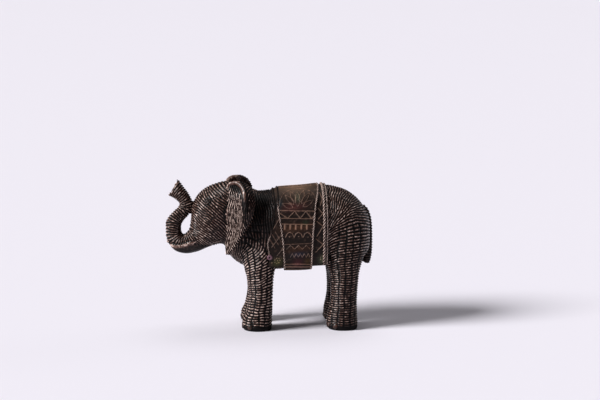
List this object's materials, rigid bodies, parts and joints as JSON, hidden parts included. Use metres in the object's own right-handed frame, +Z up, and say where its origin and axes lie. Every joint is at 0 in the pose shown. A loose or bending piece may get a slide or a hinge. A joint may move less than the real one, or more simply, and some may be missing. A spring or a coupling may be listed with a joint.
{
  "type": "elephant figurine",
  "caption": "Dark carved-look wooden elephant with a raised, curled trunk, spread ears and a patterned saddle cloth, standing on its own flat feet.",
  "frame": {"origin": "on the ground under the middle of the figure's box", "axes": "+Z up, -X the way the elephant faces, +Y towards its right side; the figure is alike on both sides of y = 0"},
  "size_m": [0.1974, 0.0768, 0.1445],
  "materials": {
    "stained_wood": "near-black brown stain in the grooves, rubbed back to coppery brown on the ridges, semi-gloss wax"
  },
  "bodies": {
    "root": {"elephant": "stained_wood"}
  },
  "joints": []
}
